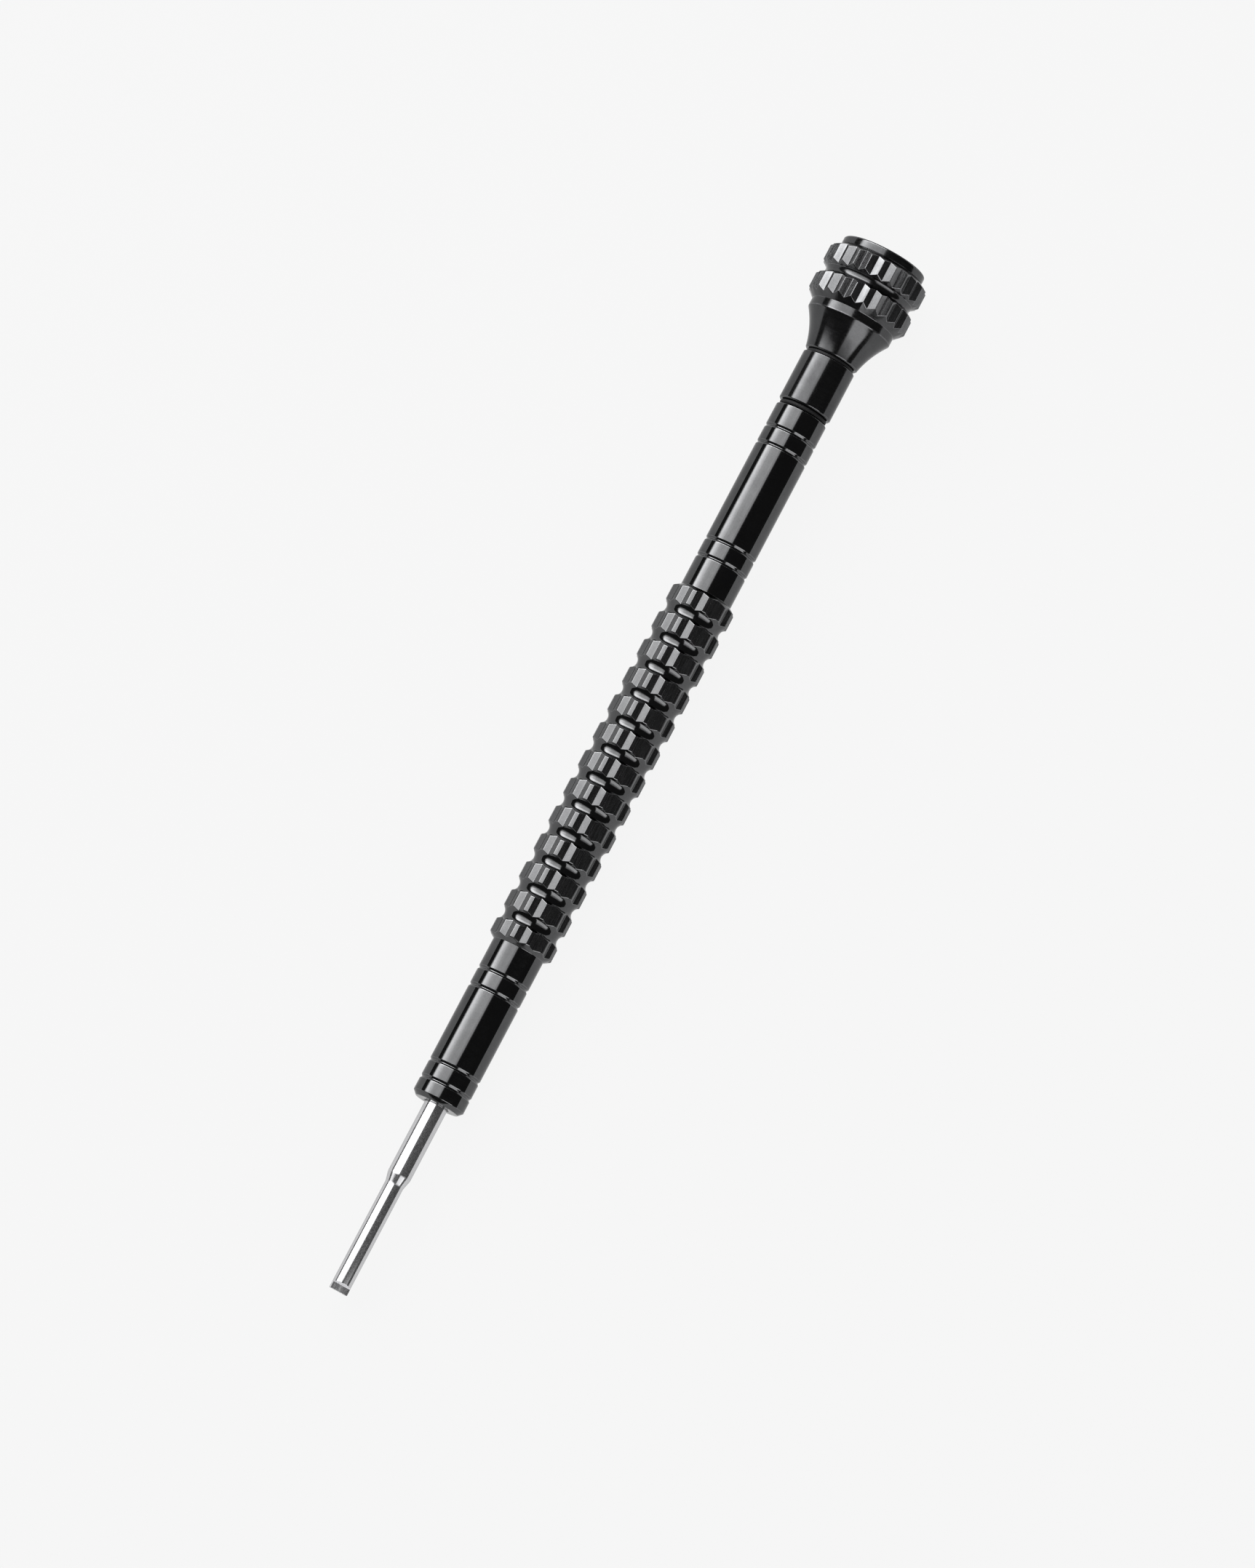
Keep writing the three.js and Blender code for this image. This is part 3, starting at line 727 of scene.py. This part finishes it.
def moulded(name, dark, light, roughness, scale, relief):
    """A dull moulded material, such as rubber or nylon."""
    made = bpy.data.materials.new(name)
    made.use_nodes = True
    tree = made.node_tree
    surface = tree.nodes["Principled BSDF"]
    spot = millimetres(tree)
    grain = noise(tree, spot, scale, 4.0)
    tree.links.new(mixed(tree, ranged(tree, grain, 0.0, 1.0), dark, light), surface.inputs["Base Color"])
    tree.links.new(ranged(tree, grain, *roughness), surface.inputs["Roughness"])
    surface.inputs["Specular IOR Level"].default_value = 0.25
    bump = add(tree, "ShaderNodeBump", {"Height": grain, "Distance": relief * 1e-6, "Strength": 1.0})
    tree.links.new(bump.outputs["Normal"], surface.inputs["Normal"])
    return made


MATERIALS = {
    "black_plate": metal(
        "black_chrome",
        dark=(0.074, 0.0745, 0.076),
        light=(0.1, 0.101, 0.103),
        roughness=(0.06, 0.12),
        streaks=(9.0, 0.7),
        relief=0.25,
        haze=(0.01, 0.1),
        polish=0.2,
        cut=1.35,
    ),
    "satin_plate": metal(
        "satin_black_chrome",
        dark=(0.058, 0.0585, 0.06),
        light=(0.086, 0.087, 0.089),
        roughness=(0.12, 0.19),
        streaks=(9.0, 0.7),
        relief=0.3,
        haze=(0.04, 0.1),
        polish=0.2,
        cut=2.0,
    ),
    "blade_steel": metal(
        "blade_steel",
        dark=(0.55, 0.55, 0.56),
        light=(0.62, 0.62, 0.63),
        roughness=(0.04, 0.08),
        streaks=(11.0, 0.8),
        relief=0.4,
        haze=(0.16, 0.2),
        polish=0.2,
    ),
    "screw_steel": metal(
        "screw_steel",
        dark=(0.55, 0.56, 0.58),
        light=(0.63, 0.64, 0.66),
        roughness=(0.12, 0.2),
        streaks=(9.0, 2.0),
        relief=0.8,
        haze=(0.05, 0.0),
        polish=0.3,
    ),
    "bearing_steel": metal(
        "bearing_steel",
        dark=(0.6, 0.61, 0.63),
        light=(0.66, 0.67, 0.69),
        roughness=(0.05, 0.09),
        streaks=(9.0, 0.7),
        relief=0.15,
        haze=(0.02, 0.0),
        polish=0.2,
    ),
    "sleeve_brass": metal(
        "sleeve_brass",
        dark=(0.66, 0.46, 0.19),
        light=(0.74, 0.54, 0.25),
        roughness=(0.16, 0.26),
        streaks=(8.0, 0.7),
        relief=0.8,
        haze=(0.05, 0.0),
        polish=0.25,
        bright=(0.86, 0.68, 0.38),
    ),
    "seal_rubber": moulded(
        "seal_rubber",
        dark=(0.005, 0.005, 0.0055),
        light=(0.009, 0.009, 0.0095),
        roughness=(0.6, 0.75),
        scale=12.0,
        relief=3.0,
    ),
    "black_nylon": moulded(
        "black_nylon",
        dark=(0.006, 0.006, 0.0065),
        light=(0.011, 0.011, 0.0115),
        roughness=(0.5, 0.65),
        scale=8.0,
        relief=2.0,
    ),
}


# ---------------------------------------------------------------- pieces

def grind(mesh, start):
    """Marks a driver's flats as ground, for its material."""
    points = np.empty(len(mesh.vertices) * 3)
    mesh.vertices.foreach_get("co", points)
    reach = (points.reshape(-1, 3) - np.array(TIP)) @ np.array(AXIS) / MM
    ground = (reach < start + DRIVER_LENGTH + 0.01).astype(np.float32)
    mesh.attributes["milled"].data.foreach_set("value", ground)
    return mesh


def make_blades():
    blade = sweep("blade_fine", blade_columns(True), lambda a, _: blade_outline(a, 0.0, True))
    piece(grind(blade, 0.0), "blade", "blade_steel", "blade")
    start = STORE_X + SEAT_GAP
    spare = sweep("spare_blade_fine", blade_columns(False), lambda a, _: blade_outline(a, start, False))
    piece(grind(spare, start), "spare_blade", "blade_steel", "spare")


def make_barrel():
    columns = flute_columns(BARREL_TEETH, BARREL_FLUTE_R, RING_R, BARREL_LAND)
    body = sweep("barrel_fine", columns, barrel_outline)
    hole = SCREW_R + SEAT_GAP
    narrow, wide = HOLE_MOUTH
    drill = [
        plain(0, 0),
        plain(0, hole),
        plain(narrow, hole),
        plain(wide, hole + HOLE_FLARE),
        plain(wide, 0),
    ]
    drilled = carve(body, turn("screw_hole", drill, place=RADIAL, segments=48))
    piece(drilled, "barrel", "black_plate", "barrel")


def slot_cutter(top, place=IN_LINE):
    """The cutter for the slot across a screw whose face is at top."""
    wide, deep = SLOT
    low = (top - deep, -SLOT_REACH, -wide / 2)
    return block("slot", low, (top + 1, SLOT_REACH, wide / 2), place)


def make_set_screw():
    inner = CLAMP_FLAT_Z + 2 * SEAT_GAP
    outline = [
        plain(inner, 0),
        corner(inner, SCREW_R - SCREW_CHAMFER),
        corner(inner + SCREW_CHAMFER, SCREW_R),
        corner(SCREW_OUT - SCREW_EDGE, SCREW_R, 0.02),
        corner(SCREW_OUT, SCREW_R - SCREW_EDGE, 0.02),
        plain(SCREW_OUT, 0),
    ]
    body = turn("set_screw_fine", outline, place=RADIAL, segments=64)
    slotted = carve(body, slot_cutter(SCREW_OUT, RADIAL))
    piece(slotted, "blade_set_screw", "screw_steel", "set_screw")


def make_head_unit():
    collar = sweep("collar_fine", round_columns(), collar_outline)
    piece(collar, "collar", "satin_plate", "head_unit")
    room = COLLAR[0] - BARREL_END
    cord = room / 2 - SEAT_GAP
    ring = []
    for k in range(24):
        a = 2 * math.pi * k / 24
        x = BARREL_END + room / 2 + cord * math.cos(a)
        ring.append(plain(x, NECK_R + SEAT_GAP + cord * (1 + math.sin(a))))
    piece(turn("o_ring_fine", ring, closed=True), "o_ring", "seal_rubber", "head_unit")
    end = BEARING_X + BEARING_W - SEAT_GAP
    hole, depth = TAPPED_HOLE
    stud = [
        plain(STUD_X, 0),
        corner(STUD_X, STUD_ROOT_R - 0.12),
        corner(STUD_X + 0.12, STUD_ROOT_R),
        corner(COLLAR[1] + SEAT_GAP, STUD_ROOT_R),
        corner(COLLAR[1] + SEAT_GAP, STUD_R),
        corner(end - 0.1, STUD_R),
        corner(end, STUD_R - 0.1),
        corner(end, hole),
        plain(end - depth, hole),
        plain(end - depth - DRILL_POINT * hole, 0),
    ]
    piece(turn("stud_fine", stud), "head_stud", "screw_steel", "head_unit")
    start = COLLAR[1] + SEAT_GAP
    sleeve = tube("sleeve_fine", start, BEARING_X - SEAT_GAP, STUD_R + SEAT_GAP, SLEEVE_R)
    piece(sleeve, "bearing_sleeve", "sleeve_brass", "head_unit")
    washer = tube("thrust_washer_fine", start, HEAD_X - RUN_GAP / 2, SLEEVE_R + RUN_GAP / 2, WASHER_R)
    piece(washer, "thrust_washer", "black_nylon", "head_unit")


def make_bearing():
    end = BEARING_X + BEARING_W
    bore = STUD_R + SEAT_GAP
    inner = [
        corner(BEARING_X, bore, 0.06),
        corner(BEARING_X, INNER_LAND, 0.06),
        *raceway(-1, INNER_LAND),
        corner(end, INNER_LAND, 0.06),
        corner(end, bore, 0.06),
    ]
    inner_ring = turn("inner_ring_fine", inner, closed=True)
    piece(inner_ring, "bearing_inner_ring", "bearing_steel", "head_unit")
    outer = [
        corner(end, BEARING_R, 0.1),
        corner(end, OUTER_LAND, 0.06),
        *reversed(raceway(1, OUTER_LAND)),
        corner(BEARING_X, OUTER_LAND, 0.06),
        corner(BEARING_X, BEARING_R, 0.1),
    ]
    outer_ring = turn("outer_ring_fine", outer, closed=True)
    piece(outer_ring, "bearing_outer_ring", "bearing_steel", "head")
    middle = BEARING_X + BEARING_W / 2
    pockets = []
    for i in range(BALL_COUNT):
        a = 2 * math.pi * i / BALL_COUNT
        place = ((middle, BALL_CIRCLE * math.sin(a), BALL_CIRCLE * math.cos(a)), SQUARE)
        name = f"bearing_ball_{i + 1}"
        ball = turn(name + "_fine", half_circle(BALL_R, 24), place=place, segments=32)
        piece(ball, name, "bearing_steel", "cage")
        pocket = half_circle(BALL_R + RACE_GAP, 16)
        pockets.append(turn(f"pocket_{i + 1}", pocket, place=place, segments=24))
    ring = tube("cage_ring", middle - CAGE_HALF, middle + CAGE_HALF, *CAGE_RADII, 0.02)
    piece(carve(ring, *pockets), "bearing_cage", "sleeve_brass", "cage")
    inside = INNER_LAND + RUN_GAP
    outside = OUTER_LAND - SEAT_GAP
    rear = end - (SHIELD_INSET + SHIELD_THICKNESS)
    for name, start in (("front", BEARING_X + SHIELD_INSET), ("rear", rear)):
        shield = tube(f"shield_{name}_fine", start, start + SHIELD_THICKNESS, inside, outside, 0.02)
        piece(shield, f"bearing_shield_{name}", "bearing_steel", "head")


def half_circle(radius, steps):
    """A ball's outline about its own middle."""
    angles = [math.pi * k / steps for k in range(steps + 1)]
    points = [plain(-radius * math.cos(a), radius * math.sin(a)) for a in angles]
    points[0], points[-1] = plain(-radius, 0), plain(radius, 0)
    return points


def make_retainer():
    start = BEARING_X + BEARING_W + SEAT_GAP
    under = start + RETAINER_THICKNESS
    washer = tube("retaining_washer_fine", start, under, TAPPED_HOLE[0], RETAINER_R)
    piece(washer, "retaining_washer", "screw_steel", "head_unit")
    under += SEAT_GAP
    head, height = SCREW_HEAD
    top = under + height
    root = SCREW_SHANK_R - SCREW_THREAD_DEPTH

    def outline(angle, _):
        return [
            plain(under - SCREW_LENGTH, 0),
            corner(under - SCREW_LENGTH, SCREW_SHANK_R - 0.14),
            *thread(under - 2.2, under - 0.3, root, SCREW_THREAD_DEPTH, angle),
            plain(under - 0.25, root),
            corner(under, root),
            corner(under, head, 0.05),
            corner(top - EDGE, head),
            corner(top, head - EDGE),
            plain(top, 0),
        ]

    body = sweep("retaining_screw_fine", round_columns(64), outline)
    piece(carve(body, slot_cutter(top)), "retaining_screw", "screw_steel", "head_unit")


def make_head():
    columns = flute_columns(HEAD_TEETH, HEAD_FLUTE_R, HEAD_R, 0.0)
    shell = sweep("head_shell_fine", columns, head_outline, closed=True)
    piece(shell, "head_shell", "satin_plate", "head")
    piece(turn("head_cap_fine", cap_outline(), segments=144), "head_cap", "satin_plate", "head")


make_blades()
make_barrel()
make_set_screw()
make_head_unit()
make_bearing()
make_retainer()
make_head()


# ---------------------------------------------------------------- stage
# In the two softboxes each smooth(value, start, end) is one soft edge. Their x and y are directions
# from the tool, as sideways over up, so their edges have no unit.

def smooth(value, start, end):
    """0 at start, 1 at end, and smooth between them."""
    t = max(0.0, min(1.0, (value - start) / (end - start)))
    return t * t * (3 - 2 * t)


def main_glow(x, y):
    """The big softbox on the +Y side, brightest towards the head."""
    left = -0.38 - 0.43 * y
    right = 1.25 + 0.62 * y
    across = 0.22 * smooth(x, left, -0.45)
    across += 0.5 * smooth(x, -0.5, 0.05)
    across += 0.28 * smooth(x, 0.4, 0.9)
    near = 0.42 + 0.3 * smooth(x, 0.3, 0.9)
    down = near + (1 - near) * smooth(y, 0.5, 1.7) + 0.08 * (1 - smooth(y, 0.1, 0.2))
    start = 0.6 * (1 - smooth(x, -0.6, -0.1))
    ends = smooth(y, start - 0.03, 1.7 * start + 0.02) * (1 - smooth(y, 1.9, 3.1))
    return MAIN_RADIANCE * across * down * ends * (1 - smooth(x, right - 0.5, right + 0.1))


def side_glow(x, y):
    """The weaker softbox on the -Y side, towards the blade."""
    far = 1.75 - 0.65 * x
    ends = smooth(-y, 0.27, 0.35) * (1 - smooth(-y, far - 0.4, far + 0.4)) * smooth(x, -4.2, -3.0)
    across = 1 - 0.5 * smooth(x, -0.9, -0.6)
    across -= 0.2 * smooth(x, -0.55, -0.35)
    across -= 0.3 * smooth(x, -0.3, -0.15)
    return SIDE_RADIANCE * ends * across


def glow_card(name, low, high, radiance):
    """A softbox overhead. Its corners and its radiance go by direction from the tool: X/Z and Y/Z."""
    xs = np.linspace(low[0], high[0], CARD_STEPS + 1)
    ys = np.linspace(low[1], high[1], CARD_STEPS + 1)
    points = [(x * CARD_HEIGHT, y * CARD_HEIGHT, CARD_HEIGHT) for x in xs for y in ys]
    row = CARD_STEPS + 1
    faces = [
        (i * row + j, i * row + j + 1, (i + 1) * row + j + 1, (i + 1) * row + j)
        for i in range(CARD_STEPS)
        for j in range(CARD_STEPS)
    ]
    mesh = bpy.data.meshes.new(name)
    mesh.from_pydata(points, [], faces)
    glow = [SURROUNDINGS + radiance(x, y) for x in xs for y in ys]
    mesh.attributes.new("glow", "FLOAT", "POINT").data.foreach_set("value", glow)
    card = bpy.data.objects.new(name, mesh)
    scene.collection.objects.link(card)
    light = bpy.data.materials.new(name)
    light.use_nodes = True
    tree = light.node_tree
    tree.nodes.clear()
    power = add(tree, "ShaderNodeAttribute", attribute_name="glow").outputs["Fac"]
    shine = add(tree, "ShaderNodeEmission", {"Strength": power}).outputs[0]
    add(tree, "ShaderNodeOutputMaterial", {"Surface": shine})
    mesh.materials.append(light)
    card.visible_camera = False
    card.visible_shadow = False


def make_floor():
    mesh = bpy.data.meshes.new("floor")
    far = FLOOR_HALF
    corners = [(-far, -far, 0), (far, -far, 0), (far, far, 0), (-far, far, 0)]
    mesh.from_pydata(corners, [], [(0, 1, 2, 3)])
    floor = bpy.data.objects.new("floor", mesh)
    scene.collection.objects.link(floor)
    paper = bpy.data.materials.new("floor")
    paper.use_nodes = True
    surface = paper.node_tree.nodes["Principled BSDF"]
    surface.inputs["Base Color"].default_value = (*(FLOOR_TONE,) * 3, 1)
    surface.inputs["Roughness"].default_value = 1.0
    surface.inputs["Specular IOR Level"].default_value = 0.0
    surface.inputs["Emission Color"].default_value = (1, 1, 1, 1)
    surface.inputs["Emission Strength"].default_value = FLOOR_GLOW
    mesh.materials.append(paper)


def make_world():
    """Dark round the lights, and as pale as the floor where the camera sees past it."""
    world = bpy.data.worlds.new("studio")
    world.use_nodes = True
    tree = world.node_tree
    tree.nodes.clear()
    seen = add(tree, "ShaderNodeLightPath").outputs["Is Camera Ray"]
    colour = mixed(tree, seen, (SURROUNDINGS,) * 3, (BACKDROP,) * 3)
    sky = add(tree, "ShaderNodeBackground", {"Color": colour}).outputs[0]
    add(tree, "ShaderNodeOutputWorld", {"Surface": sky})
    scene.world = world


def make_camera():
    """Nearly overhead, looking a little from the blade's end, with the tool rising to the right."""
    roll = math.radians(CAMERA_ROLL)
    tilt = math.radians(CAMERA_TILT)
    spin = math.radians(CAMERA_TURN)
    normal = math.cos(roll) * UP - math.sin(roll) * SIDE
    across = -math.cos(roll) * SIDE - math.sin(roll) * UP
    back = math.cos(tilt) * normal - math.sin(tilt) * AXIS
    along = math.cos(tilt) * AXIS + math.sin(tilt) * normal
    right = math.sin(spin) * along + math.cos(spin) * across
    up = math.cos(spin) * along - math.sin(spin) * across
    aim = CAMERA_AIM[0] * AXIS + CAMERA_AIM[1] * across
    place = TIP + MM * aim + CAMERA_DISTANCE * back
    data = bpy.data.cameras.new("camera")
    data.lens = CAMERA_LENS
    data.sensor_width = CAMERA_SENSOR
    data.clip_start = 0.01
    camera = bpy.data.objects.new("camera", data)
    scene.collection.objects.link(camera)
    facing = Matrix((right, up, back)).transposed().to_4x4()
    camera.matrix_world = Matrix.Translation(place) @ facing
    scene.camera = camera


make_floor()
make_world()
glow_card("main_light", (-2.0, -0.05), (3.7, 3.4), main_glow)
glow_card("side_light", (-4.3, -5.0), (0.0, -0.25), side_glow)
make_camera()
scene.view_settings.view_transform = "Standard"
